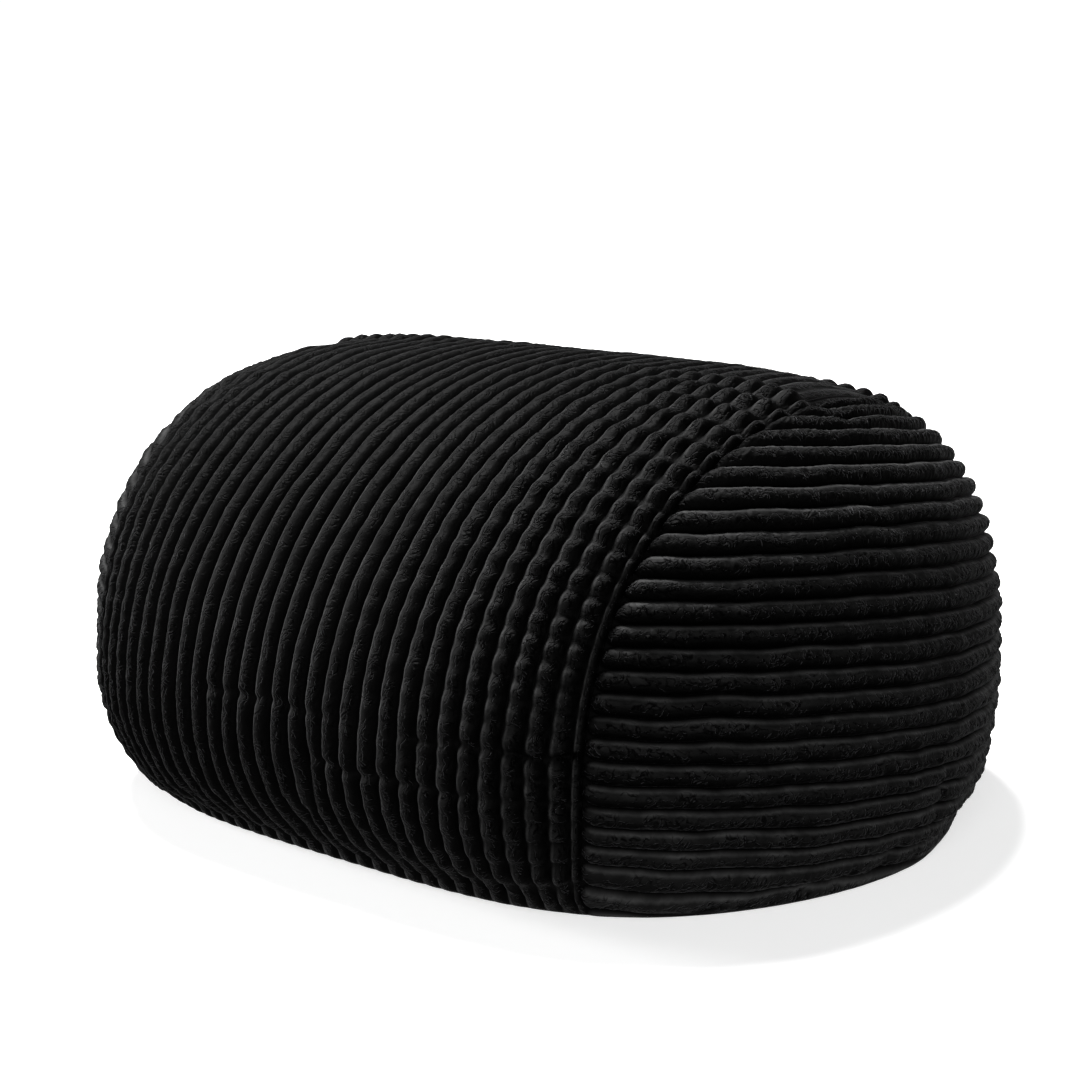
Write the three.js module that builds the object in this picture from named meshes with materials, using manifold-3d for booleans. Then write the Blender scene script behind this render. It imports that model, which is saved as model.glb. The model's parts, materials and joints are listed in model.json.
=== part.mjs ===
// Bean bag lounger of wide rib cord. One barrel panel wraps the filling, its ribs running
// round it as hoops, and one oval panel is sewn into each end, its ribs lying level.
// Filling, crown and the flat spot it rests on are all in the form of these three solids.
// Millimetres, +Z up, +X along the length, origin in the middle of the base.
import * as THREE from "three";
import { mergeVertices } from "three/addons/utils/BufferGeometryUtils.js";
import Module from "manifold-3d";

// Whole form
const LENGTH = 1175;
const WIDTH = 1000;
const HEIGHT = 560;
const WIDEST_LEVEL = 158; // height of the widest line of the sides
const BASE_DROP = 352; // depth of the underside below that line, before the floor presses it
const PRESS_ROUND = 30; // half height of the round between the wall and the flat base

// Fullness of the cross section, and of the run to the ends at its side, top and base
const SECTION_ROUND = { upper: 2.08, lower: 1.7 };
const END_ROUND = {
  side: { along: 3.9, across: 1.455 },
  top: { along: 7.6, across: 1.28 },
  base: { along: 3.7, across: 2.07 },
};

// Seam between barrel and end panel, measured from the middle of the length
const SEAM_SIDE = 383;
const SEAM_TOP = 405;
const SEAM_BASE = 338;
const SEAM_GAP = 0.3;

// Ribs of the cord
const WHOLE_BODY_RIBS = 29; // a half rib more lies along each seam
const END_RIB_PITCH = 26;
const FIRST_END_GROOVE = 22; // above the widest level, along the cloth
const GROOVE_DEPTH = 8;
const HALF_RIB_HEIGHT = 0.55; // share of a whole rib's height
const RIB_NOSE = 14; // length of the round that closes an end rib at the seam
const END_RIB_RISE = { upper: 0.07, lower: 0.033 }; // bow of a level rib across the panel
const END_RIB_ROLL = THREE.MathUtils.degToRad(-6.8);
const FLOOR_FADE = 12; // height over which the ribs flatten towards the floor

// Steps of the surface
const RIB_STEPS = [0, 0.3, 0.7]; // groove and the two shoulders of each rib
const WALL_COLUMNS = 42;
const BASE_COLUMNS = 3;
const END_COLUMNS = 9; // between the two rounds at the seam
const NOSE_STEPS = [0, 0.35, 1];
const LARGEST_NOSE = 1 / 4; // of a short rib line, so that its two rounds never meet
const OUTER_COLUMN = 0.8; // place of the column in the part of a rib line that the seam cuts off
const HALF_RIB_CREST = 0.25; // of a whole pitch, from the seam to the top of the half rib
const BARREL_OVERHANG = 0.6; // pitches that the barrel form runs on past its seam, to be cut there
const MEASURED_REACH = 0.95; // share of the half length along which the barrel's ribs are measured
const SEAM_STEPS = 12;
const LINE_STEPS = 400; // fineness of measuring along the cloth
const SEARCH_STEPS = 40; // halvings in a search for an edge
const MERGE_DISTANCE = 1e-4;

const HALF_LENGTH = LENGTH / 2;
const HALF_WIDTH = WIDTH / 2;
const CROWN = HEIGHT - WIDEST_LEVEL;
const BACK_PLANE = SEAM_BASE - 38; // the uncut end form starts here, inside the barrel
const CUTTER_MARGIN = 0.25; // the cutting blocks stand out past the form by this share of it
const SEAM_PLACE = WHOLE_BODY_RIBS / 2 + 0.5; // in rib pitches from the middle
const UNDERNEATH_LEVEL = -PRESS_ROUND - HALF_WIDTH * Math.abs(Math.tan(END_RIB_ROLL));
const PROBE = 0.5; // steps for slopes
const PROBE_ANGLE = 0.001;

const cordBlack = () => new THREE.MeshStandardMaterial({ color: 0x15141a, roughness: 0.95, metalness: 0 });

const raise = (value, exponent) => Math.pow(Math.max(value, 0), exponent);

// The floor presses what would hang below it up to zero, with a round at the edge
function press(z) {
  if (z < -PRESS_ROUND) return 0;
  if (z > PRESS_ROUND) return z;
  return (z + PRESS_ROUND) ** 2 / (4 * PRESS_ROUND);
}

// Fullness of the run to the end for a direction, given its share that points up or down
function endRound(upness) {
  const vertical = upness * upness;
  const other = upness > 0 ? END_ROUND.top : END_ROUND.base;
  return {
    along: THREE.MathUtils.lerp(END_ROUND.side.along, other.along, vertical),
    across: THREE.MathUtils.lerp(END_ROUND.side.across, other.across, vertical),
  };
}

// Crest surface over the barrel: x along the length, angle round it from the top
function barrelPoint(x, angle) {
  const up = Math.cos(angle);
  const out = Math.sin(angle);
  const exponent = 2 / (up >= 0 ? SECTION_ROUND.upper : SECTION_ROUND.lower);
  const round = endRound(up);
  const share = raise(1 - raise(Math.abs(x) / HALF_LENGTH, round.along), 1 / round.across);
  const y = HALF_WIDTH * Math.sign(out) * raise(Math.abs(out), exponent);
  const z = (up >= 0 ? CROWN : BASE_DROP) * Math.sign(up) * raise(Math.abs(up), exponent);
  return new THREE.Vector3(x, share * y, press(WIDEST_LEVEL + share * z));
}

// Reach of the crest surface along X at a place of the end panel; rise is from the widest level
function endReach(y, rise) {
  const exponent = rise >= 0 ? SECTION_ROUND.upper : SECTION_ROUND.lower;
  const sideways = Math.abs(y) / HALF_WIDTH;
  const upwards = Math.abs(rise) / (rise >= 0 ? CROWN : BASE_DROP);
  const share = raise(raise(sideways, exponent) + raise(upwards, exponent), 1 / exponent);
  if (share >= 1) return 0;
  const out = share > 0 ? raise(sideways / share, exponent / 2) : 0;
  const round = endRound(Math.sign(rise) * Math.sqrt(Math.max(1 - out * out, 0)));
  return HALF_LENGTH * raise(1 - raise(share, round.across), 1 / round.along);
}

// A level rib line of the end panel bows a little and rolls with the panel
function ribLineHeight(level, y) {
  const rise = level - WIDEST_LEVEL;
  const bow = rise > 0 ? END_RIB_RISE.upper : END_RIB_RISE.lower;
  const middle = 1 - (y / HALF_WIDTH) ** 2;
  return WIDEST_LEVEL + (rise * (1 + bow * middle)) / (1 + bow) + y * Math.tan(END_RIB_ROLL);
}

function endPoint(level, y) {
  const z = ribLineHeight(level, y);
  return new THREE.Vector3(endReach(y, z - WIDEST_LEVEL), y, press(z));
}

// Where the seam lies along X at a height
function seamReach(z) {
  if (z > WIDEST_LEVEL) return THREE.MathUtils.lerp(SEAM_SIDE, SEAM_TOP, ((z - WIDEST_LEVEL) / CROWN) ** 2);
  const lowness = raise((WIDEST_LEVEL - z) / WIDEST_LEVEL, SECTION_ROUND.lower);
  return THREE.MathUtils.lerp(SEAM_SIDE, SEAM_BASE, lowness);
}

// Rib height from 0 in the groove to 1 on the crest, for a share of the pitch
const ribHeight = (share) => Math.sqrt(Math.max(1 - (2 * share - 1) ** 2, 0));

const floorFade = (z) => THREE.MathUtils.smoothstep(z, 0, FLOOR_FADE);

function sunk(point, slopeA, slopeB, depth) {
  const normal = new THREE.Vector3().crossVectors(slopeA, slopeB).normalize();
  return point.clone().addScaledVector(normal, -depth * floorFade(point.z));
}

// Closed geometry from points and triangles given by their numbers
function solidGeometry(points, triangles) {
  const geometry = new THREE.BufferGeometry();
  const numbers = points.flatMap((p) => p.toArray());
  geometry.setAttribute("position", new THREE.Float32BufferAttribute(numbers, 3));
  geometry.setIndex(triangles.flat());
  return geometry;
}

// A line on the form, given by its point for t from 0 to 1, so that it measures like cloth
class FormLine extends THREE.Curve {
  constructor(pointAt) {
    super();
    this.pointAt = pointAt;
    this.arcLengthDivisions = LINE_STEPS;
  }

  getPoint(t) {
    return this.pointAt(t);
  }

  // Share of the line at a distance of cloth from its start
  shareAt(distance) {
    return this.getUtoTmapping(0, distance);
  }

  // Distance of cloth at which a test of the point first holds
  distanceTo(test) {
    const lengths = this.getLengths();
    const index = lengths.findIndex((_, i) => test(this.getPoint(i / LINE_STEPS)));
    return index < 0 ? this.getLength() : lengths[index];
  }
}

const wasm = await Module();
wasm.setup();

function toManifold(geometry) {
  for (const name of Object.keys(geometry.attributes)) {
    if (name !== "position") geometry.deleteAttribute(name);
  }
  const merged = mergeVertices(geometry, MERGE_DISTANCE);
  return new wasm.Manifold(
    new wasm.Mesh({
      numProp: 3,
      vertProperties: new Float32Array(merged.attributes.position.array),
      triVerts: new Uint32Array(merged.index.array),
    }),
  );
}

function fromManifold(solid) {
  const { vertProperties, triVerts } = solid.getMesh();
  const geometry = new THREE.BufferGeometry();
  geometry.setAttribute("position", new THREE.BufferAttribute(vertProperties, 3));
  geometry.setIndex([...triVerts]);
  return geometry;
}

// The seam line as points (x, z), a half gap to one side of the seam itself
function seamLine(shift) {
  const heights = [-HEIGHT * CUTTER_MARGIN];
  for (let i = 0; i <= SEAM_STEPS; i += 1) heights.push((HEIGHT * i) / SEAM_STEPS);
  heights.push(HEIGHT * (1 + CUTTER_MARGIN));
  return heights.map((z) => new THREE.Vector2(seamReach(THREE.MathUtils.clamp(z, 0, HEIGHT)) + shift, z));
}

// An outline in X and Z, extruded right across the width, to cut a form along its seams
function seamBlock(outline) {
  const depth = WIDTH * (1 + CUTTER_MARGIN);
  const block = new THREE.ExtrudeGeometry(new THREE.Shape(outline), { depth, bevelEnabled: false });
  block.rotateX(Math.PI / 2);
  block.translate(0, depth / 2, 0);
  return toManifold(block);
}

function middleBlock() {
  const right = seamLine(-SEAM_GAP / 2);
  const left = right.map((p) => new THREE.Vector2(-p.x, p.y)).reverse();
  return seamBlock([...right, ...left]);
}

function endBlock() {
  const inner = seamLine(SEAM_GAP / 2).reverse();
  const outer = [inner.at(-1), inner[0]].map((p) => new THREE.Vector2(LENGTH, p.y));
  return seamBlock([...inner, ...outer]);
}

// Angles round the barrel: even steps of cloth on walls and crown, a few on the flat base
function barrelAngles() {
  const contact = Math.acos(-raise((WIDEST_LEVEL + PRESS_ROUND) / BASE_DROP, SECTION_ROUND.lower / 2));
  const angleAt = (t) => THREE.MathUtils.lerp(-contact, contact, t);
  const hoop = new FormLine((t) => barrelPoint(0, angleAt(t)));
  const angles = [];
  for (let i = 0; i <= WALL_COLUMNS; i += 1) angles.push(angleAt(hoop.getUtoTmapping(i / WALL_COLUMNS)));
  const last = 2 * Math.PI - contact;
  for (let i = 1; i <= BASE_COLUMNS; i += 1) {
    angles.push(THREE.MathUtils.lerp(contact, last, i / (BASE_COLUMNS + 1)));
  }
  return angles;
}

// Rows of the barrel: place from the middle in rib pitches, and height of the cord there
function barrelRows() {
  const halfRib = [
    { place: SEAM_PLACE - HALF_RIB_CREST, height: HALF_RIB_HEIGHT },
    { place: SEAM_PLACE, height: 0 },
    { place: SEAM_PLACE + BARREL_OVERHANG, height: 0 },
  ];
  const rows = halfRib.map(({ place, height }) => ({ place: -place, height })).reverse();
  for (let rib = 0; rib < WHOLE_BODY_RIBS; rib += 1) {
    for (const step of RIB_STEPS) {
      rows.push({ place: rib - WHOLE_BODY_RIBS / 2 + step, height: ribHeight(step) });
    }
  }
  rows.push({ place: WHOLE_BODY_RIBS / 2, height: 0 });
  return [...rows, ...halfRib];
}

function barrelSolid() {
  const reachAt = (t) => t * HALF_LENGTH * MEASURED_REACH;
  const side = new FormLine((t) => barrelPoint(reachAt(t), Math.PI / 2));
  const pitch = side.distanceTo((p) => p.x >= SEAM_SIDE) / SEAM_PLACE;
  const angles = barrelAngles();
  // Nearer to the seam a hoop follows the seam's own curve more closely
  const seamScales = angles.map((angle) => seamReach(barrelPoint(SEAM_SIDE, angle).z) / SEAM_SIDE);
  const rows = barrelRows();
  const points = [];
  for (const { place, height } of rows) {
    const reach = Math.sign(place) * reachAt(side.shareAt(Math.abs(place) * pitch));
    const nearness = Math.min(Math.abs(place) / SEAM_PLACE, 1);
    angles.forEach((angle, column) => {
      const x = reach * (1 + (seamScales[column] - 1) * nearness);
      const along = barrelPoint(x + PROBE, angle).sub(barrelPoint(x - PROBE, angle));
      const round = barrelPoint(x, angle + PROBE_ANGLE).sub(barrelPoint(x, angle - PROBE_ANGLE));
      points.push(sunk(barrelPoint(x, angle), along, round, GROOVE_DEPTH * (1 - height)));
    });
  }
  const count = angles.length;
  const triangles = [];
  for (let row = 0; row + 1 < rows.length; row += 1) {
    for (let column = 0; column < count; column += 1) {
      const next = (column + 1) % count;
      const [a, b] = [row * count + column, row * count + next];
      const [c, d] = [b + count, a + count];
      triangles.push([a, d, c], [a, c, b]);
    }
  }
  for (const row of [0, rows.length - 1]) {
    const centre = points.push(new THREE.Vector3(points[row * count].x, 0, WIDEST_LEVEL)) - 1;
    for (let column = 0; column < count; column += 1) {
      const edge = [row * count + column, row * count + ((column + 1) % count)];
      triangles.push(row === 0 ? [edge[0], edge[1], centre] : [edge[1], edge[0], centre]);
    }
  }
  return toManifold(solidGeometry(points, triangles)).intersect(middleBlock());
}

// The place across the panel where a rib line reaches out furthest
function furthestPlace(level) {
  let best = { y: 0, reach: -1 };
  for (let y = -HALF_WIDTH; y <= HALF_WIDTH; y += WIDTH / LINE_STEPS) {
    const reach = endPoint(level, y).x;
    if (reach > best.reach) best = { y, reach };
  }
  return best;
}

// Value between two at which a test stops holding; it holds at the first
function lastWhere(test, inside, outside) {
  let [good, bad] = [inside, outside];
  for (let i = 0; i < SEARCH_STEPS; i += 1) {
    const middle = (good + bad) / 2;
    if (test(middle)) good = middle;
    else bad = middle;
  }
  return good;
}

// Levels of the rib lines from crown to base, with the height of the cord on each
function endRows(topLevel, baseLevel) {
  const levelAt = (t) => THREE.MathUtils.lerp(topLevel, baseLevel, t);
  const middle = new FormLine((t) => endPoint(levelAt(t), 0));
  const widest = middle.distanceTo((p) => p.z <= WIDEST_LEVEL);
  const firstGroove = (widest - FIRST_END_GROOVE) % END_RIB_PITCH;
  const rows = [];
  for (let groove = firstGroove; groove < middle.getLength(); groove += END_RIB_PITCH) {
    const underneath = levelAt(middle.shareAt(groove)) < UNDERNEATH_LEVEL;
    for (const step of underneath ? [0] : RIB_STEPS) {
      const distance = groove + step * END_RIB_PITCH;
      if (distance >= middle.getLength()) break;
      rows.push({ level: levelAt(middle.shareAt(distance)), height: ribHeight(step) });
    }
  }
  return rows;
}

// Distances along a rib line for its columns, closest together at the rounds by the seam
function endColumns(line) {
  const total = line.getLength();
  const beyondSeam = (p) => p.x >= seamReach(p.z);
  const left = Math.min(line.distanceTo(beyondSeam), total / 2);
  const back = new FormLine((t) => line.getPoint(1 - t));
  const right = total - Math.min(back.distanceTo(beyondSeam), total / 2);
  const nose = Math.min(RIB_NOSE, (right - left) * LARGEST_NOSE);
  const columns = [0, left * OUTER_COLUMN];
  for (const share of NOSE_STEPS) columns.push(left + nose * share);
  for (let i = 1; i <= END_COLUMNS; i += 1) {
    columns.push(THREE.MathUtils.lerp(left + nose, right - nose, i / (END_COLUMNS + 1)));
  }
  for (const share of [...NOSE_STEPS].reverse()) columns.push(right - nose * share);
  columns.push(total - (total - right) * OUTER_COLUMN, total);
  const noseHeight = (distance) => {
    const inside = Math.min(distance - left, right - distance) / RIB_NOSE;
    return Math.sqrt(1 - (1 - THREE.MathUtils.clamp(inside, 0, 1)) ** 2);
  };
  return columns.map((distance) => ({ distance, nose: noseHeight(distance) }));
}

function endRowPoints({ level, height }) {
  const start = furthestPlace(level).y;
  const inside = (y) => endPoint(level, y).x >= BACK_PLANE;
  const left = lastWhere(inside, start, -HALF_WIDTH);
  const right = lastWhere(inside, start, HALF_WIDTH);
  const placeAt = (t) => THREE.MathUtils.lerp(left, right, t);
  const line = new FormLine((t) => endPoint(level, placeAt(t)));
  return endColumns(line).map(({ distance, nose }) => {
    const y = placeAt(line.shareAt(distance));
    const across = endPoint(level, y + PROBE).sub(endPoint(level, y - PROBE));
    const upwards = endPoint(level + PROBE, y).sub(endPoint(level - PROBE, y));
    return sunk(endPoint(level, y), across, upwards, GROOVE_DEPTH * (1 - height * nose));
  });
}

function endSolid() {
  const reaches = (level) => furthestPlace(level).reach >= BACK_PLANE;
  const poles = [HEIGHT * (1 + CUTTER_MARGIN), -BASE_DROP].map((limit) => lastWhere(reaches, WIDEST_LEVEL, limit));
  const rows = endRows(...poles).map(endRowPoints);
  const points = rows.flat();
  const count = rows[0].length;
  const [top, base] = poles.map((level) => points.push(endPoint(level, furthestPlace(level).y)) - 1);
  const centre = points.push(new THREE.Vector3(BACK_PLANE, 0, WIDEST_LEVEL)) - 1;
  const last = (rows.length - 1) * count;
  const end = count - 1;
  const triangles = [
    [0, top, centre],
    [top, end, centre],
    [base, last, centre],
    [last + end, base, centre],
  ];
  for (let column = 0; column < end; column += 1) {
    triangles.push([top, column, column + 1], [last + column, base, last + column + 1]);
  }
  for (let row = 0; row + 1 < rows.length; row += 1) {
    const start = row * count;
    for (let column = 0; column < end; column += 1) {
      const [a, b] = [start + column, start + column + 1];
      const [c, d] = [b + count, a + count];
      triangles.push([a, d, c], [a, c, b]);
    }
    triangles.push([start + count, start, centre], [start + end, start + count + end, centre]);
  }
  return toManifold(solidGeometry(points, triangles)).intersect(endBlock());
}

function panel(name, geometry) {
  const mesh = new THREE.Mesh(geometry, cordBlack());
  mesh.name = name;
  return mesh;
}

const lounger = new THREE.Group();
lounger.add(panel("barrel_panel", fromManifold(barrelSolid())));

const endGeometry = fromManifold(endSolid());
const nearEnd = panel("end_panel_right", endGeometry);
const farEnd = panel("end_panel_left", endGeometry);
farEnd.rotation.z = Math.PI;
lounger.add(nearEnd, farEnd);

export default lounger;
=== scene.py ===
# %% [markdown]
# # A bean bag lounger in wide rib cord
# The lounger is one filled cushion: a barrel panel whose ribs run round it as hoops, and an
# oval panel sewn into each end with its ribs lying level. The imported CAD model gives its
# place and size, and this script gives the cloth. The smooth form is worked out first. A
# short cloth simulation settles it on its filling, Geometry Nodes raise the ribs on it, and
# a plush material finishes them.

# %% Load the frame
import json
import math

import bpy
import numpy as np
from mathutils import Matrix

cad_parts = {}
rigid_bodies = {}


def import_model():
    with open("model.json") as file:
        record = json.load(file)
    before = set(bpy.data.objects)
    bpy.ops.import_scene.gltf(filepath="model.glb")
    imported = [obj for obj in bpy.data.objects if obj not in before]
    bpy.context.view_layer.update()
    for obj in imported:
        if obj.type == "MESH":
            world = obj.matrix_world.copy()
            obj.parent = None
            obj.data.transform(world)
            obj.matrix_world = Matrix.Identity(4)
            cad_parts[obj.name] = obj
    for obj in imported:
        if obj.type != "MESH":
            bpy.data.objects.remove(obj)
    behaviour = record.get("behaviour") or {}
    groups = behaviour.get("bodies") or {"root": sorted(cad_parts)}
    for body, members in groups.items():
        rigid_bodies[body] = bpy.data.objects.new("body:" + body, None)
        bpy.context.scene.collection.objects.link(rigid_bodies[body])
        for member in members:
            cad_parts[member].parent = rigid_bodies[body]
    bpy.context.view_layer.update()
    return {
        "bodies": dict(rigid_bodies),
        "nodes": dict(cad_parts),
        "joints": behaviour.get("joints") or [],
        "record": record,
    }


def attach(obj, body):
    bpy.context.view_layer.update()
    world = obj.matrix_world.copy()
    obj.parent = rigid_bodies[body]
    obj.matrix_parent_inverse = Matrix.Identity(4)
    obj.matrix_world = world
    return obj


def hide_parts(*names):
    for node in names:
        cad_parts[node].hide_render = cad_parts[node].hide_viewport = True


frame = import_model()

# %% [markdown]
# ## The sizes of the form
# A filled bag has no flat sides: its section is a rounded oval, and its run to the ends is
# fuller at the crown than at the sides. Both are superellipses, which one exponent makes
# fuller or slacker. The floor presses the underside flat. All sizes are in metres.

# %% Sizes of the form
LENGTH = 1.175
WIDTH = 1.0
HEIGHT = 0.560
# The level at which the bag is widest, and how deep its form would hang with no floor
WIDEST_LEVEL = 0.158
BASE_DROP = 0.352
PRESS_ROUND = 0.030
HALF_LENGTH = LENGTH / 2
HALF_WIDTH = WIDTH / 2
CROWN = HEIGHT - WIDEST_LEVEL

# Exponents of the section above and below the widest level
SECTION_UPPER = 2.08
SECTION_LOWER = 1.7
# Exponents of the run to the ends, along the bag and across it, by side, top and base
END_SIDE = (3.9, 1.455)
END_TOP = (7.6, 1.28)
END_BASE = (3.7, 2.07)

# How far the seam lies from the middle of the bag, by side, top and base
SEAM_SIDE = 0.383
SEAM_TOP = 0.405
SEAM_BASE = 0.338
SEAM_GAP = 0.0006

# Ribs of the barrel between the half ribs, and the seam's place counted in ribs
WHOLE_BODY_RIBS = 29
SEAM_PLACE = WHOLE_BODY_RIBS / 2 + 0.5
# Ribs of an end panel, and how its rib lines bow and roll
END_RIB_PITCH = 0.026
FIRST_END_GROOVE = 0.022
END_RISE_UPPER = 0.07
END_RISE_LOWER = 0.033
END_RIB_ROLL = math.radians(-6.8)
print("crown above the widest level:", round(CROWN, 3))

# %% [markdown]
# ## The crest surface of the barrel
# The form is worked out for the crests of the ribs, because that is what the outline shows.
# A point is found from its place along the length and its angle round the bag from the top.

# %% The form of the barrel
TABLE_REACH = 0.95
TABLE_STEPS = 2001


def power(value, exponent):
    return np.maximum(value, 0.0) ** exponent


def press(z):
    """The floor flattens what would hang below it, with a round at the edge."""
    rounded = (z + PRESS_ROUND) ** 2 / (4 * PRESS_ROUND)
    return np.where(z < -PRESS_ROUND, 0.0, np.where(z > PRESS_ROUND, z, rounded))


def end_round(upness):
    """Exponents of the run to the end for a direction, given its share up or down."""
    vertical = upness**2
    top_or_base = np.where(upness[..., None] > 0, END_TOP, END_BASE)
    mixed = np.array(END_SIDE) + (top_or_base - END_SIDE) * vertical[..., None]
    return mixed[..., 0], mixed[..., 1]


def barrel_form(x, angle):
    up, out = np.cos(angle), np.sin(angle)
    exponent = 2 / np.where(up >= 0, SECTION_UPPER, SECTION_LOWER)
    along, across = end_round(up)
    share = power(1 - power(np.abs(x) / HALF_LENGTH, along), 1 / across)
    y = HALF_WIDTH * np.sign(out) * power(np.abs(out), exponent)
    z = np.where(up >= 0, CROWN, BASE_DROP) * np.sign(up) * power(np.abs(up), exponent)
    x, y = np.broadcast_arrays(x, share * y)
    return np.stack([x, y, press(WIDEST_LEVEL + share * z)], axis=-1)


def seam_reach(z):
    """Where the seam lies along X at a height."""
    above = SEAM_SIDE + (SEAM_TOP - SEAM_SIDE) * ((z - WIDEST_LEVEL) / CROWN) ** 2
    lowness = power((WIDEST_LEVEL - z) / WIDEST_LEVEL, SECTION_LOWER)
    return np.where(z > WIDEST_LEVEL, above, SEAM_SIDE + (SEAM_BASE - SEAM_SIDE) * lowness)


def cloth_lengths(points):
    """Distance of cloth along a line of points, from its first point to each."""
    steps = np.linalg.norm(np.diff(points, axis=0), axis=1)
    return np.concatenate([[0.0], np.cumsum(steps)])


line_x = np.linspace(0, TABLE_REACH * HALF_LENGTH, TABLE_STEPS)
line_cloth = cloth_lengths(barrel_form(line_x, np.full(line_x.shape, math.pi / 2)))
body_pitch = float(np.interp(SEAM_SIDE, line_x, line_cloth)) / SEAM_PLACE
print("rib pitch of the barrel in mm:", round(1000 * body_pitch, 2))

# %% [markdown]
# ## The crest surface of an end panel
# The end is the same form seen as a dome. Its rib lines lie level, bow up a little in the
# middle, and roll a few degrees with the panel, as a sewn panel settles. A rib line is named
# by its level in the middle of the panel.

# %% The form of an end panel
NOT_ZERO = 1e-12
ACROSS_STEPS = 401
LEVEL_STEPS = 4001
LEVEL_HALVINGS = 40
ABOVE_CROWN = 1.2


def end_reach(y, rise):
    """How far the form reaches along X, at a place across it and a rise from its widest."""
    exponent = np.where(rise >= 0, SECTION_UPPER, SECTION_LOWER)
    sideways = np.abs(y) / HALF_WIDTH
    upwards = np.abs(rise) / np.where(rise >= 0, CROWN, BASE_DROP)
    share = power(power(sideways, exponent) + power(upwards, exponent), 1 / exponent)
    out = np.clip(sideways / np.maximum(share, NOT_ZERO), 0, 1) ** (exponent / 2)
    along, across = end_round(np.sign(rise) * np.sqrt(1 - out**2))
    return HALF_LENGTH * power(1 - power(share, across), 1 / along)


def rib_line_height(level, y):
    rise = level - WIDEST_LEVEL
    bow = np.where(rise > 0, END_RISE_UPPER, END_RISE_LOWER)
    middle = 1 - (y / HALF_WIDTH) ** 2
    return WIDEST_LEVEL + rise * (1 + bow * middle) / (1 + bow) + y * math.tan(END_RIB_ROLL)


def end_form(level, y):
    z = rib_line_height(level, y)
    x, y = np.broadcast_arrays(end_reach(y, z - WIDEST_LEVEL), y)
    return np.stack([x, y, press(z)], axis=-1)


def beyond_seam(level, y):
    point = end_form(level, y)
    return point[..., 0] - seam_reach(point[..., 2])


across_places = np.linspace(-HALF_WIDTH, HALF_WIDTH, ACROSS_STEPS)


def furthest_place(level):
    """The place on a rib line that is furthest out past the seam, and by how much."""
    past = beyond_seam(np.full(across_places.shape, level), across_places)
    best = int(np.argmax(past))
    return across_places[best], past[best]


def last_level(outside):
    """The last level, from the widest one towards outside, that has cloth past the seam."""
    good, bad = WIDEST_LEVEL, outside
    for _ in range(LEVEL_HALVINGS):
        level = (good + bad) / 2
        good, bad = (level, bad) if furthest_place(level)[1] > 0 else (good, level)
    return good


top_level, base_level = last_level(ABOVE_CROWN * HEIGHT), last_level(-BASE_DROP)
level_table = np.linspace(top_level, base_level, LEVEL_STEPS)
level_cloth = cloth_lengths(end_form(level_table, np.zeros(level_table.shape)))
widest_cloth = float(np.interp(-WIDEST_LEVEL, -level_table, level_cloth))


def end_rib_place(level):
    """Rib count down the panel, a whole number in each groove."""
    cloth = np.interp(-level, -level_table, level_cloth)
    return (cloth - widest_cloth + FIRST_END_GROOVE) / END_RIB_PITCH


print("end rib lines between levels", round(top_level, 3), "and", round(base_level, 3))

# %% [markdown]
# ## Filling the bag
# A sewn cover settles on its filling: it swells between the seams and is held at them and
# where it lies on the floor. Blender's Cloth does this on a light skin of the whole form,
# with air pressure in place of the beads and a little more cloth than the form needs. Only
# the way each point moved is kept, so the panels can follow it at any fineness.

# %% The skin that is simulated
SKIN_ROWS = 48
SKIN_END_ROWS = 14
SKIN_COLUMNS = 120
# Shares of the half length that the last row and the point that closes the skin reach
SKIN_LAST_ROW = 0.995
SKIN_POLE = 0.996
ON_FLOOR = 0.002


def skin_grid():
    """Rows of points from one end of the bag to the other, with a row on each seam."""
    angles = np.linspace(0, 2 * math.pi, SKIN_COLUMNS, endpoint=False)
    seam_points = barrel_form(np.full(angles.shape, SEAM_SIDE), angles)
    seam_x = seam_reach(seam_points[:, 2])
    share = np.linspace(-1, 1, SKIN_ROWS + 1)
    middle = share[:, None] * seam_x[None, :]
    onward = np.sin(np.linspace(0, math.pi / 2, SKIN_END_ROWS + 1))[1:-1]
    ending = seam_x[None, :] + onward[:, None] * (SKIN_LAST_ROW * HALF_LENGTH - seam_x[None, :])
    x = np.concatenate([-ending[::-1], middle, ending])
    return barrel_form(x, np.broadcast_to(angles, x.shape))


def skin_object(grid):
    """A closed mesh of the skin, with a group of the points that are held."""
    rows, columns, _ = grid.shape
    numbers = np.arange(rows * columns).reshape(rows, columns)
    around = np.concatenate([numbers, numbers[:, :1]], axis=1)
    corners = around[:-1, :-1], around[1:, :-1], around[1:, 1:], around[:-1, 1:]
    faces = np.stack([c.ravel() for c in corners], axis=1).tolist()
    poles = [[side * SKIN_POLE * HALF_LENGTH, 0, WIDEST_LEVEL] for side in (-1, 1)]
    first, last = rows * columns, rows * columns + 1
    faces += [[a, b, first] for a, b in zip(around[0, :-1].tolist(), around[0, 1:].tolist())]
    faces += [[b, a, last] for a, b in zip(around[-1, :-1].tolist(), around[-1, 1:].tolist())]
    mesh = bpy.data.meshes.new("filling_skin")
    mesh.from_pydata(np.concatenate([grid.reshape(-1, 3), poles]).tolist(), [], faces)
    skin = bpy.data.objects.new("filling_skin", mesh)
    bpy.context.scene.collection.objects.link(skin)
    seam_rows = SKIN_END_ROWS - 1, SKIN_END_ROWS - 1 + SKIN_ROWS
    on_floor = np.nonzero(grid[..., 2].ravel() < ON_FLOOR)[0]
    held = np.union1d(numbers[list(seam_rows)].ravel(), on_floor)
    skin.vertex_groups.new(name="held").add(held.tolist(), 1.0, "REPLACE")
    return skin


filling_skin = skin_object(skin_grid())
print("skin:", len(filling_skin.data.vertices), "points")

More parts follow.
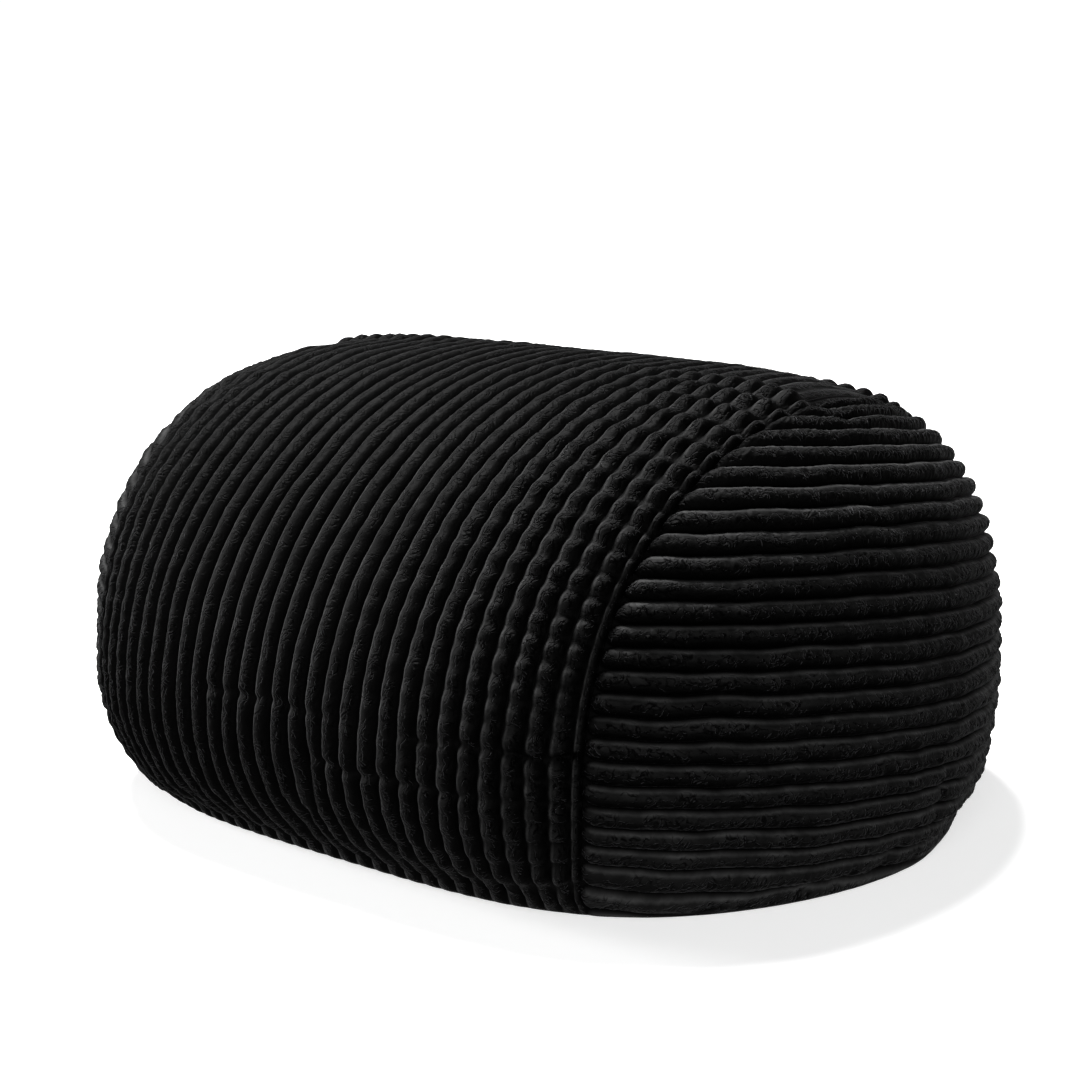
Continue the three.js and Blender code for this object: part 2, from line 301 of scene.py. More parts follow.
# %% Simulate the cover on its filling
FILLING_PRESSURE = 4.0
SPARE_CLOTH = 0.012
SETTLE_FRAMES = 20
# The furthest that a point may settle, and how far the whole cover is set back for it
MOST_SETTLED = 0.007
SEAMS_DRAWN_IN = 0.004
COVER_CLOTH = {
    "quality": 6,
    "mass": 0.1,
    "tension_stiffness": 20,
    "compression_stiffness": 20,
    "bending_stiffness": 2.0,
    "use_pressure": True,
    "uniform_pressure_force": FILLING_PRESSURE,
    "shrink_min": -SPARE_CLOTH,
    "vertex_group_mass": "held",
}


def point_places(mesh):
    places = np.empty(len(mesh.vertices) * 3, np.float32)
    mesh.vertices.foreach_get("co", places)
    return places.reshape(-1, 3)


def settle_skin(skin):
    """Run Cloth on the skin and give how far each of its points moved."""
    cloth = skin.modifiers.new("cover", "CLOTH")
    for key, value in COVER_CLOTH.items():
        setattr(cloth.settings, key, value)
    cloth.settings.effector_weights.gravity = 0
    cloth.point_cache.frame_start = 1
    cloth.point_cache.frame_end = SETTLE_FRAMES
    for frame in range(1, SETTLE_FRAMES + 1):
        bpy.context.scene.frame_set(frame)
    settled = skin.evaluated_get(bpy.context.evaluated_depsgraph_get()).to_mesh()
    moved = point_places(settled) - point_places(skin.data)
    skin.modifiers.clear()
    bpy.context.scene.frame_set(1)
    return moved


settle = np.zeros((len(filling_skin.data.vertices), 3), np.float32)
settle = settle_skin(filling_skin)
far = np.linalg.norm(settle, axis=1, keepdims=True)
middle_and_most = [round(1000 * float(value), 1) for value in (np.median(far), far.max())]
print("cloth moved in mm, middle and most:", middle_and_most)
capped = np.minimum(1, MOST_SETTLED / np.maximum(far, NOT_ZERO))
outward = np.array([point.normal for point in filling_skin.data.vertices])
settle = settle * capped - SEAMS_DRAWN_IN * outward
kept_settle = filling_skin.data.attributes.new("settle", "FLOAT_VECTOR", "POINT")
kept_settle.data.foreach_set("vector", np.ascontiguousarray(settle, np.float32).ravel())

# %% [markdown]
# ## A smooth panel that carries its ribs as numbers
# The ribs could be modelled one by one, but they all follow the same rule, so each panel is
# made smooth and every point keeps where it is on the cord: its rib count, its distance from
# the seam, and the direction out of the cloth. Rows of points are close together in the
# grooves, where the cord turns fastest. Its edge turns in along the seam, as a seam
# allowance does, and is closed inside, where nothing shows.

# %% Build a panel mesh with its attributes
SEAM_TUCK = 0.020


def rib_steps(steps):
    """Places of the rows across one rib, closest together in its grooves."""
    return (1 - np.cos(math.pi * np.arange(steps) / steps)) / 2


def out_of_cloth(slope_a, slope_b):
    normal = np.cross(slope_a, slope_b)
    return normal / np.maximum(np.linalg.norm(normal, axis=-1, keepdims=True), NOT_ZERO)


def grid_faces(rows, columns, wrap):
    """Quads of a grid of points, as rows of four point numbers."""
    numbers = np.arange(rows * columns).reshape(rows, columns)
    if wrap:
        numbers = np.concatenate([numbers, numbers[:, :1]], axis=1)
    corners = numbers[:-1, :-1], numbers[1:, :-1], numbers[1:, 1:], numbers[:-1, 1:]
    return np.stack([c.ravel() for c in corners], axis=1)


def fan_faces(ring, centre):
    """Triangles that close a ring of point numbers onto a centre point."""
    return [[a, b, centre] for a, b in zip(ring, ring[1:] + ring[:1])]


def ring_band(ring, inner):
    """Quads between two rings of point numbers."""
    after, inner_after = ring[1:] + ring[:1], inner[1:] + inner[:1]
    return [[a, b, d, c] for a, b, c, d in zip(ring, after, inner, inner_after)]


def panel_object(name, points, faces, attributes):
    mesh = bpy.data.meshes.new(name)
    mesh.from_pydata(points.tolist(), [], [list(map(int, face)) for face in faces])
    for key, values in attributes.items():
        kind, field = ("FLOAT_VECTOR", "vector") if values.ndim == 2 else ("FLOAT", "value")
        attribute = mesh.attributes.new(key, kind, "POINT")
        attribute.data.foreach_set(field, np.ascontiguousarray(values, np.float32).ravel())
    mesh.polygons.foreach_set("use_smooth", np.ones(len(mesh.polygons), bool))
    piece = bpy.data.objects.new(name, mesh)
    bpy.context.scene.collection.objects.link(piece)
    print(name, "smooth panel:", len(mesh.vertices), "points")
    return piece


def tucked_in(points, attributes, ring, centre):
    """Turn the edge of a panel in along its seam and close it onto a centre point inside."""
    start = len(points)
    tucked = points[ring] - attributes["out"][ring] * SEAM_TUCK
    points = np.concatenate([points, tucked, [centre]])
    for key, values in attributes.items():
        inner = np.zeros_like(values[ring]) if key == "out" else values[ring]
        attributes[key] = np.concatenate([values, inner, np.zeros_like(values[:1])])
    inner_ring = list(range(start, start + len(ring)))
    faces = ring_band(list(map(int, ring)), inner_ring) + fan_faces(inner_ring, start + len(ring))
    return points, attributes, faces

# %% [markdown]
# ## The barrel panel
# One strip of cord goes right round the filling. Twenty-nine whole ribs fit between the
# seams, and half a rib is left over beside each seam. Nearer to a seam the hoops follow the
# seam's own curve. The gathers that the end panels pull into the cloth lie at the end
# panel's own rib spacing, so each column of points keeps its count along the seam too.

# %% Rows and columns of the barrel panel
BARREL_COLUMNS = 366
BARREL_BASE_COLUMNS = 14
BARREL_STEPS_PER_RIB = 8
# How high a half rib stands beside a whole one
HALF_RIB_HEIGHT = 0.72
# Heights between which the columns lie closer, for the creases
CREASE_BELT = (0.135, 0.225)


def barrel_angles():
    """Angles of the columns, twice as close where the filling sags into creases."""
    contact = math.acos(-(((WIDEST_LEVEL + PRESS_ROUND) / BASE_DROP) ** (SECTION_LOWER / 2)))
    fine = np.linspace(-contact, contact, LEVEL_STEPS)
    points = barrel_form(np.zeros(fine.shape), fine)
    near_crease = (points[1:, 2] > CREASE_BELT[0]) & (points[1:, 2] < CREASE_BELT[1])
    weights = np.diff(cloth_lengths(points)) * (1 + near_crease)
    weighed = np.concatenate([[0.0], np.cumsum(weights)])
    wall = np.interp(np.linspace(0, weighed[-1], BARREL_COLUMNS + 1), weighed, fine)
    base = np.linspace(contact, 2 * math.pi - contact, BARREL_BASE_COLUMNS + 2)[1:-1]
    return np.concatenate([wall, base])


def barrel_rows():
    """Place of each row in pitches from the middle, with its rib count and its rib's height."""
    steps = rib_steps(BARREL_STEPS_PER_RIB)
    half = steps / 2
    whole = (np.arange(WHOLE_BODY_RIBS)[:, None] + steps[None, :]).ravel()
    first = WHOLE_BODY_RIBS / 2
    place = np.concatenate([half - SEAM_PLACE, whole - first, first + half, [SEAM_PLACE]])
    last = WHOLE_BODY_RIBS + 2 * half
    count = np.concatenate([2 * half - 1, whole, last, [WHOLE_BODY_RIBS + 1]])
    stand = np.where(np.abs(place) > first, HALF_RIB_HEIGHT, 1.0)
    return place, count, stand


barrel_rib_places, barrel_rib_counts, barrel_rib_stands = barrel_rows()
print("barrel rows:", len(barrel_rib_places))

# %% [markdown]
# ## Gathers, creases and crushed pile of the barrel
# A seam gathers the cloth that it holds, and filling that has sunk leaves creases low on the
# sides, below which the ribs step sideways. A simulated cloth would not keep its ribs, so
# these are set by rule: each point keeps how strongly the seam gathers it, how deep it lies
# in a crease, and how crushed its pile is.

# %% Gathers and crushed pile
# The height at which the seam gathers least, over what height, and by what share less
SLACK_LEVEL = 0.21
SLACK_SPREAD = 0.07
SLACK_SHARE = 0.1
# The far seam's share of the gathers at the front, and across which Y it grows to the back
FAR_SEAM_SHARE = 0.15
FAR_SEAM_SLACK = (-0.35, 0.15)
# Pile that is crushed everywhere, then more between these ribs and below these heights
LEAST_CRUSHED = 0.38
CRUSHED_FAR_SIDE = 0.7
CRUSHED_RIBS = (3.0, 12.0)
CRUSHED_HEIGHTS = (0.34, 0.20)


def unpressed(z):
    """The level that a height would have with no floor."""
    rounded = 2 * np.sqrt(np.maximum(PRESS_ROUND * z, 0)) - PRESS_ROUND
    return np.where(z < PRESS_ROUND, rounded, z)


def seam_count(y, z):
    """Rib count of the end panel that meets a point of the seam."""
    rolled = unpressed(z) - WIDEST_LEVEL - y * math.tan(END_RIB_ROLL)
    bow = np.where(rolled > 0, END_RISE_UPPER, END_RISE_LOWER)
    rise = rolled * (1 + bow) / (1 + bow * (1 - (y / HALF_WIDTH) ** 2))
    return end_rib_place(WIDEST_LEVEL + rise)


def pucker_strength(z):
    """The seam gathers a little less where the filling has sunk, just above the widest level."""
    slack = np.exp(-(((z - SLACK_LEVEL) / SLACK_SPREAD) ** 2))
    return 1.0 - SLACK_SHARE * slack


def smooth_share(value, first, last):
    share = np.clip((value - first) / (last - first), 0, 1)
    return share * share * (3 - 2 * share)


def crushed_share(z, place):
    """The pile is crushed most low down and towards the seams, and stands clean over the top."""
    from_middle = np.where(place > 0, place, -CRUSHED_FAR_SIDE * place)
    toward_seam = smooth_share(from_middle, *CRUSHED_RIBS)
    low_down = smooth_share(z, *CRUSHED_HEIGHTS)
    return LEAST_CRUSHED + (1 - LEAST_CRUSHED) * np.maximum(toward_seam, low_down)


print("gathers where slackest:", round(float(pucker_strength(SLACK_LEVEL)), 2))

# %% Creases
CREASE_WIDTH = 0.0048
# Ribs over which a crease starts and ends, how far it wanders in height, and how fast
CREASE_FADE = 1.4
CREASE_WANDER = 0.004
WANDER_TURNS = (1.9, 0.7)
WANDER_START = 40
# How uneven a crease's depth is from rib to rib, and how fast it changes
CREASE_UNEVEN = 0.3
UNEVEN_TURNS = 2.7
UNEVEN_START = 90
# Heights over which the sideways step of the ribs sets in and dies away below the crease
STEP_EDGE = 0.003
STEP_REACH = 0.035
# Side of the barrel, height, first and last rib, depth and step of the ribs below the crease
CREASES = (
    (-1, 0.206, 5.6, 16.5, 0.0085, 0.0010),
    (-1, 0.211, -5.2, 3.2, 0.0060, 0.0015),
    (-1, 0.153, 1.4, 10.5, 0.0055, 0.0040),
    (1, 0.199, -16.5, -4.0, 0.0050, -0.0010),
    (1, 0.158, -9.0, 2.0, 0.0035, -0.0030),
    (1, 0.208, 5.0, 16.5, 0.0045, 0.0015),
)


def creases(points, place):
    """How deep each point lies in a crease, and how far its rib steps sideways below one."""
    depth, step = np.zeros(place.shape), np.zeros(place.shape)
    for side, level, first, last, sink, sideways in CREASES:
        swing = np.sin(place * WANDER_TURNS[0] + level * WANDER_START)
        wander = CREASE_WANDER * swing * np.cos(place * WANDER_TURNS[1])
        below = level + wander - points[..., 2]
        starting = np.clip((place - first) / CREASE_FADE, 0, 1)
        ending = np.clip((last - place) / CREASE_FADE, 0, 1)
        reach = starting * ending * (points[..., 1] * side > 0)
        change = np.sin(place * UNEVEN_TURNS + level * UNEVEN_START)
        uneven = 1 - CREASE_UNEVEN + CREASE_UNEVEN * change
        depth += sink * uneven * reach * np.exp(-((below / CREASE_WIDTH) ** 2))
        setting_in, dying_away = np.exp(below / STEP_EDGE), np.exp(-below / STEP_REACH)
        step += sideways * reach * np.where(below > 0, dying_away, setting_in)
    return depth, step


print("creases:", len(CREASES))

# %% Build the smooth barrel panel
# Distance between the points that a slope is measured from
PROBE = 0.0005
# Power by which the sideways steps die away towards the seams
STEPS_HELD = 8
# How far inside the seams the tucked edges close, and at what height
BARREL_TUCK = 0.06
TUCK_HEIGHT = 0.25


def barrel_panel():
    angles = barrel_angles()
    place, count, stand = barrel_rib_places, barrel_rib_counts, barrel_rib_stands
    seam_points = barrel_form(np.full(angles.shape, SEAM_SIDE), angles)
    seam_scale = seam_reach(seam_points[:, 2]) / SEAM_SIDE
    nearness = np.abs(place) / SEAM_PLACE
    reach = np.sign(place) * np.interp(np.abs(place) * body_pitch, line_cloth, line_x)
    x = reach[:, None] * (1 + (seam_scale[None, :] - 1) * nearness[:, None])
    x -= np.sign(place)[:, None] * SEAM_GAP / 2 * nearness[:, None]
    angle = np.broadcast_to(angles, x.shape)
    places = np.broadcast_to(place[:, None], x.shape)
    depth, step = creases(barrel_form(x, angle), places)
    x = x + step * (1 - nearness[:, None] ** STEPS_HELD)
    points = barrel_form(x, angle)
    along = barrel_form(x + PROBE, angle) - barrel_form(x - PROBE, angle)
    around = barrel_form(x, angle + PROBE) - barrel_form(x, angle - PROBE)
    cloth = cloth_lengths(barrel_form(np.zeros(angles.shape), angles))
    right = seam_count(seam_points[:, 1], seam_points[:, 2])
    left = seam_count(-seam_points[:, 1], seam_points[:, 2])
    grid = np.ones(x.shape)
    # The far seam is stretched nearly smooth at the front, and gathered at the back
    slack = smooth_share(seam_points[:, 1], *FAR_SEAM_SLACK)
    far = FAR_SEAM_SHARE + (1 - FAR_SEAM_SHARE) * slack
    tightness = np.where(place[:, None] > 0, 1.0, far[None, :])
    cord = [grid * cloth, grid * (place * body_pitch)[:, None], 0 * grid]
    attributes = {
        "out": out_of_cloth(along, around).reshape(-1, 3),
        "rib": (grid * count[:, None]).ravel(),
        "stand": (grid * stand[:, None]).ravel(),
        "seam": (grid * (SEAM_PLACE - np.abs(place))[:, None] * body_pitch).ravel(),
        "gather": np.where(place[:, None] > 0, right[None, :], left[None, :]).ravel(),
        "pucker": (tightness * pucker_strength(seam_points[:, 2])[None, :]).ravel(),
        "crease": depth.ravel(),
        "crushed": crushed_share(points[..., 2], places).ravel(),
        "cord": np.stack(cord, axis=-1).reshape(-1, 3),
    }
    points = points.reshape(-1, 3)
    columns = len(angles)
    faces = grid_faces(len(place), columns, wrap=True).tolist()
    for row, side in ((0, -1), (len(place) - 1, 1)):
        ring = row * columns + np.arange(columns)
        ring = ring if side < 0 else ring[::-1]
        centre = [side * (SEAM_SIDE - BARREL_TUCK), 0, TUCK_HEIGHT]
        points, attributes, more = tucked_in(points, attributes, ring, centre)
        faces += more
    return panel_object("barrel_cord", points, faces, attributes)


barrel_cord = barrel_panel()

# %% [markdown]
# ## The end panels
# An end panel is built row by row: each rib line is followed from the seam on one side to
# the seam on the other. The far end is the same panel turned half way round.

# %% Rows and columns of an end panel
END_COLUMNS = 280
END_STEPS_PER_RIB = 12
# The round nose in which a rib ends at the seam, at most this share of a short rib
NOSE_COLUMNS = 7
NOSE_LENGTH = 0.014
LARGEST_NOSE = 0.25
# Cloth left free of rows at the crown and the base, and below what level rows are spared
PANEL_EDGE = 0.002
UNDERNEATH_LEVEL = -PRESS_ROUND - HALF_WIDTH * abs(math.tan(END_RIB_ROLL))
EDGE_HALVINGS = 30
ROW_STEPS = 301


def end_levels():
    """Levels of the rows from crown to base, a few only where the panel lies on the floor."""
    lowest = float(end_rib_place(base_level))
    ribs = np.arange(math.ceil(end_rib_place(top_level)) - 1, math.ceil(lowest))
    counts = (ribs[:, None] + rib_steps(END_STEPS_PER_RIB)[None, :]).ravel()
    cloth = counts * END_RIB_PITCH + widest_cloth - FIRST_END_GROOVE
    inside = (cloth > PANEL_EDGE) & (cloth < level_cloth[-1] - PANEL_EDGE)
    levels = np.interp(cloth[inside], level_cloth, level_table)
    keep = (levels > UNDERNEATH_LEVEL) | (np.arange(len(levels)) % END_STEPS_PER_RIB == 0)
    return levels[keep], counts[inside][keep]


def end_row_places(level):
    """Places across the panel for one rib line, closest together by the seam."""
    start, _ = furthest_place(level)
    edges = []
    for outside in (-HALF_WIDTH, HALF_WIDTH):
        good, bad = start, outside
        for _ in range(EDGE_HALVINGS):
            middle = (good + bad) / 2
            past_seam = beyond_seam(level, np.array(middle)) > 0
            good, bad = (middle, bad) if past_seam else (good, middle)
        edges.append(good)
    y = np.linspace(*edges, ROW_STEPS)
    cloth = cloth_lengths(end_form(np.full(y.shape, level), y))
    nose = min(NOSE_LENGTH, LARGEST_NOSE * cloth[-1])
    round_off = nose * (1 - np.cos(np.linspace(0, math.pi / 2, NOSE_COLUMNS)))
    middle = np.linspace(nose, cloth[-1] - nose, END_COLUMNS + 2)[1:-1]
    wanted = np.concatenate([round_off, middle, cloth[-1] - round_off[::-1]])
    return np.interp(wanted, cloth, y), wanted - cloth[-1] / 2


end_row_levels, end_rib_counts = end_levels()
print("end panel rows:", len(end_row_levels))

# %% Build the smooth end panels
# Cloth to the seam for each metre along X, since the panel slopes there
SEAM_SLOPE = 1.15
# How far outside the seam the tucked edge closes
END_TUCK = 0.05


def end_panel(name, turned):
    levels, counts = end_row_levels, end_rib_counts
    rows = [end_row_places(level) for level in levels]
    y = np.array([row[0] for row in rows])
    level = np.broadcast_to(levels[:, None], y.shape)
    points = end_form(level, y)
    past = beyond_seam(level, y)
    points[..., 0] += SEAM_GAP / 2
    across = end_form(level, y + PROBE) - end_form(level, y - PROBE)
    upwards = end_form(level + PROBE, y) - end_form(level - PROBE, y)
    grid = np.ones(y.shape)
    cord = [np.array([row[1] for row in rows]), grid * (counts * END_RIB_PITCH)[:, None], 0 * grid]
    attributes = {
        "out": out_of_cloth(across, upwards).reshape(-1, 3),
        "rib": (grid * counts[:, None]).ravel(),
        "stand": grid.ravel(),
        "seam": np.maximum(past * SEAM_SLOPE, 0).ravel(),
        "gather": 0 * grid.ravel(),
        "pucker": 0 * grid.ravel(),
        "crease": 0 * grid.ravel(),
        "crushed": grid.ravel(),
        "cord": np.stack(cord, axis=-1).reshape(-1, 3),
    }
    points = points.reshape(-1, 3)
    count_rows, columns = y.shape
    faces = grid_faces(count_rows, columns, wrap=False).tolist()
    for pole_level, row in ((top_level, 0), (base_level, count_rows - 1)):
        at, place = np.array([pole_level]), np.array([furthest_place(pole_level)[0]])
        pole = end_form(at, place)
        pole[:, 0] += SEAM_GAP / 2
        out = out_of_cloth(
            end_form(at, place + PROBE) - end_form(at, place - PROBE),
            end_form(at + PROBE, place) - end_form(at - PROBE, place),
        )
        number = len(points)
        points = np.concatenate([points, pole])
        for key, values in attributes.items():
            first = values[row * columns : row * columns + 1]
            attributes[key] = np.concatenate([values, out if key == "out" else first])
        line = [row * columns + column for column in range(columns)]
        for a, b in zip(line, line[1:]):
            faces.append([number, a, b] if row == 0 else [a, number, b])
    top_pole, base_pole = len(points) - 2, len(points) - 1
    left_edge = [row * columns for row in range(count_rows)]
    right_edge = [row * columns + columns - 1 for row in range(count_rows)]
    ring = np.array([top_pole] + right_edge + [base_pole] + left_edge[::-1])
    centre = [SEAM_SIDE + END_TUCK, 0, TUCK_HEIGHT]
    points, attributes, more = tucked_in(points, attributes, ring, centre)
    faces += more
    if turned:
        points = points * [-1, -1, 1]
        attributes["out"] = attributes["out"] * [-1, -1, 1]
    return panel_object(name, points, faces, attributes)


right_end_cord = end_panel("right_end_cord", turned=False)
left_end_cord = end_panel("left_end_cord", turned=True)

# %% [markdown]
# ## One helper for every node
# Geometry trees and material trees are both made of nodes, so one small function adds a
# node, sets what it is and fills its sockets. A socket takes a number, the output of another
# node, or a node, whose first output is then meant. A colour ramp is given its stops. All
# colours are written as sRGB hex values, and one function turns them to the linear light
# that Blender works in.

# %% Add a node
MATH = "ShaderNodeMath"
VECTOR_MATH = "ShaderNodeVectorMath"
RANGE = "ShaderNodeMapRange"
NOISE = "ShaderNodeTexNoise"
RAMP = "ShaderNodeValToRGB"


def linear(hex_colour):
    """A Blender colour from an sRGB hex value."""
    parts = [int(hex_colour[i : i + 2], 16) / 255 for i in (1, 3, 5)]
    return [c / 12.92 if c <= 0.04045 else ((c + 0.055) / 1.055) ** 2.4 for c in parts] + [1.0]


def add_node(tree, kind, sockets=(), stops=(), **settings):
    """Add a node with its settings and links. Its sockets are given in order or by name."""
    node = tree.nodes.new(kind)
    for key, value in settings.items():
        setattr(node, key, value)
    for key, value in sockets.items() if isinstance(sockets, dict) else enumerate(sockets):
        if isinstance(value, bpy.types.Node):
            value = value.outputs[0]
        if isinstance(value, bpy.types.NodeSocket):
            tree.links.new(value, node.inputs[key])
        else:
            node.inputs[key].default_value = value
    if stops:
        ramp = node.color_ramp.elements
        ramp[0].position, ramp[1].position = stops[0][0], stops[-1][0]
        for position, _ in stops[1:-1]:
            ramp.new(position)
        for element, (_, hex_colour) in zip(ramp, stops):
            element.color = linear(hex_colour)
    return node


print("mid grey #808080 is", round(linear("#808080")[0], 3), "in linear light")

# %% [markdown]
# ## Raising the ribs with Geometry Nodes
# Each point sinks below the crest surface by what its place on the rib asks for. A rib's
# section is half an ellipse, so the grooves between ribs are narrow and steep, and an end
# rib closes in a round nose at the seam. Gathers run across the last ribs of the barrel.
# The tree has named inputs, so one tree serves all three panels with other numbers. Its
# lengths are metres. A Map Range node is given its value, the range that comes in and the
# range that goes out, in that order.

# %% The rib tree
RIB_INPUTS = {
    "Groove depth": 0.012,
    "Rib fullness": 0.64,
    "Nose length": NOSE_LENGTH,
    "Gather depth": 0.0,
    "Gather reach": 0.12,
    "Gather drift": 0.5,
    "Bead fullness": 1.7,
    "Crush depth": 0.0022,
    "Crush size": 0.012,
    "Waver": 0.010,
    "Waver size": 0.08,
    "Floor fade": 0.012,
    "Crease shade": 40.0,
    "Seed": 3.0,
}

ribs = bpy.data.node_groups.new("Wide rib cord", "GeometryNodeTree")
ribs.interface.new_socket("Panel", in_out="INPUT", socket_type="NodeSocketGeometry")
for name, value in RIB_INPUTS.items():
    socket = ribs.interface.new_socket(name, in_out="INPUT", socket_type="NodeSocketFloat")
    socket.default_value = value
ribs.interface.new_socket("Filling", in_out="INPUT", socket_type="NodeSocketObject")
ribs.interface.new_socket("Cloth", in_out="INPUT", socket_type="NodeSocketMaterial")
ribs.interface.new_socket("Panel", in_out="OUTPUT", socket_type="NodeSocketGeometry")
given = add_node(ribs, "NodeGroupInput").outputs

kept = {}
for name in ("rib", "stand", "seam", "gather", "pucker", "crease", "out", "settle"):
    kept[name] = add_node(
        ribs,
        "GeometryNodeInputNamedAttribute",
        {"Name": name},
        data_type="FLOAT_VECTOR" if name in ("out", "settle") else "FLOAT",
    )
place = add_node(ribs, "GeometryNodeInputPosition")
print("attributes read by the tree:", list(kept))

# %% [markdown]
# ### The section of a rib
# The fraction of the rib count says where a point lies between two grooves. From it and the
# distance to the seam comes its height, from 0 in the groove to 1 on the crest.

# %% Height of the rib
share = add_node(ribs, MATH, [kept["rib"]], operation="FRACT")
side = add_node(ribs, MATH, [share, 2.0, -1.0], operation="MULTIPLY_ADD")
side_square = add_node(ribs, MATH, [side, side], operation="MULTIPLY")
nose = add_node(ribs, MATH, [kept["seam"], given["Nose length"]], operation="DIVIDE")
toe = add_node(ribs, MATH, [1.0, nose], operation="SUBTRACT", use_clamp=True)
toe_square = add_node(ribs, MATH, [toe, toe], operation="MULTIPLY")
both = add_node(ribs, MATH, [side_square, toe_square], operation="ADD")
rest = add_node(ribs, MATH, [1.0, both], operation="SUBTRACT", use_clamp=True)
round_rib = add_node(ribs, MATH, [rest, given["Rib fullness"]], operation="POWER")
height = add_node(ribs, MATH, [round_rib, kept["stand"]], operation="MULTIPLY")
print("nodes so far:", len(ribs.nodes))

# %% [markdown]
# ### Gathers
# The end panel's ribs and grooves pull the barrel's last ribs into beads at their own
# spacing, which die away from the seam. A noise lets the beads drift a little.

# %% Beads by the seam
drift_scale = add_node(ribs, MATH, [1.0, given["Waver size"]], operation="DIVIDE")
drift = add_node(
    ribs,
    NOISE,
    {"Vector": place, "W": given["Seed"], "Scale": drift_scale, "Detail": 1.0},
    noise_dimensions="4D",
).outputs
slip = add_node(ribs, MATH, [drift["Fac"], 0.5], operation="SUBTRACT")
slipped = add_node(
    ribs, MATH, [slip, given["Gather drift"], kept["gather"]], operation="MULTIPLY_ADD"
)
turn = add_node(ribs, MATH, [slipped, math.pi], operation="MULTIPLY")
wave = add_node(ribs, MATH, [turn], operation="SINE")
bead = add_node(ribs, MATH, [wave], operation="ABSOLUTE")
full_bead = add_node(ribs, MATH, [bead, given["Bead fullness"]], operation="POWER")
dip = add_node(ribs, MATH, [1.0, full_bead], operation="SUBTRACT")
ratio = add_node(ribs, MATH, [kept["seam"], given["Gather reach"]], operation="DIVIDE")
less = add_node(ribs, MATH, [ratio, -1.0], operation="MULTIPLY")
fade = add_node(ribs, MATH, [less], operation="EXPONENT")
strength = add_node(ribs, MATH, [fade, kept["pucker"]], operation="MULTIPLY")
faded = add_node(ribs, MATH, [dip, strength], operation="MULTIPLY")
on_rib = add_node(ribs, MATH, [faded, height], operation="MULTIPLY")
pulled = add_node(ribs, MATH, [on_rib, given["Gather depth"]], operation="MULTIPLY")
print("nodes so far:", len(ribs.nodes))

# %% [markdown]
# ### Crushed pile
# Where pile has been leant on it keeps shallow lines: the level lines of a noise.

# %% Crush lines on the crests
CRUSH_LINE = 0.12

crush_scale = add_node(ribs, MATH, [1.0, given["Crush size"]], operation="DIVIDE")
crush = add_node(
    ribs,
    NOISE,
    {"Vector": place, "W": given["Seed"], "Scale": crush_scale, "Detail": 2.0},
    noise_dimensions="4D",
)
off_level = add_node(ribs, MATH, [crush, 0.5], operation="SUBTRACT")
line_distance = add_node(ribs, MATH, [off_level], operation="ABSOLUTE")
line = add_node(ribs, RANGE, [line_distance, 0.0, CRUSH_LINE, 1.0, 0.0])
crushed = add_node(ribs, MATH, [line, given["Crush depth"]], operation="MULTIPLY")
crushed_rib = add_node(ribs, MATH, [crushed, height], operation="MULTIPLY")
print("nodes so far:", len(ribs.nodes))

# %% [markdown]
# ### Sinking the cloth
# Groove, gathers, creases and crush lines all sink a point along the way out of the cloth.
# They fade out where the cloth lies on the floor, because it is pressed flat there.

# %% Sink each point
low = add_node(ribs, MATH, [1.0, height], operation="SUBTRACT")
groove = add_node(ribs, MATH, [low, given["Groove depth"]], operation="MULTIPLY")
sunk_rib = add_node(ribs, MATH, [groove, pulled], operation="ADD")
folded = add_node(ribs, MATH, [kept["crease"], round_rib, sunk_rib], operation="MULTIPLY_ADD")
sunk = add_node(ribs, MATH, [folded, crushed_rib], operation="ADD")
level = add_node(ribs, "ShaderNodeSeparateXYZ", [place]).outputs["Z"]
clear = add_node(
    ribs, RANGE, [level, 0.0, given["Floor fade"]], interpolation_type="SMOOTHSTEP"
)
depth = add_node(ribs, MATH, [sunk, clear], operation="MULTIPLY")
inward = add_node(ribs, MATH, [depth, -1.0], operation="MULTIPLY")
sink = add_node(ribs, VECTOR_MATH, {0: kept["out"], "Scale": inward}, operation="SCALE")
print("nodes so far:", len(ribs.nodes))

# %% [markdown]
# ### Waver and filling
# The ribs of a soft bag are never straight. They waver a little, but not at the seam or on
# the floor, and the whole panel follows the simulated cover.

# %% Waver and settle
STILL_BY_SEAM = 0.05

swerve = add_node(ribs, VECTOR_MATH, [drift["Color"], (0.5, 0.5, 0.5)], operation="SUBTRACT")
away = add_node(ribs, RANGE, [kept["seam"], 0.0, STILL_BY_SEAM])
free = add_node(ribs, MATH, [away, clear], operation="MULTIPLY")
loose = add_node(ribs, MATH, [free, given["Waver"]], operation="MULTIPLY")
waver = add_node(ribs, VECTOR_MATH, {0: swerve, "Scale": loose}, operation="SCALE")
uneven = add_node(ribs, VECTOR_MATH, [sink, waver], operation="ADD")

filling = add_node(ribs, "GeometryNodeObjectInfo", {"Object": given["Filling"]})
settled = add_node(
    ribs,
    "GeometryNodeSampleNearestSurface",
    {"Mesh": filling.outputs["Geometry"], "Value": kept["settle"], "Sample Position": place},
    data_type="FLOAT_VECTOR",
)
follow = add_node(ribs, VECTOR_MATH, {0: settled, "Scale": clear}, operation="SCALE")
offset = add_node(ribs, VECTOR_MATH, [uneven, follow], operation="ADD")
print("nodes so far:", len(ribs.nodes))
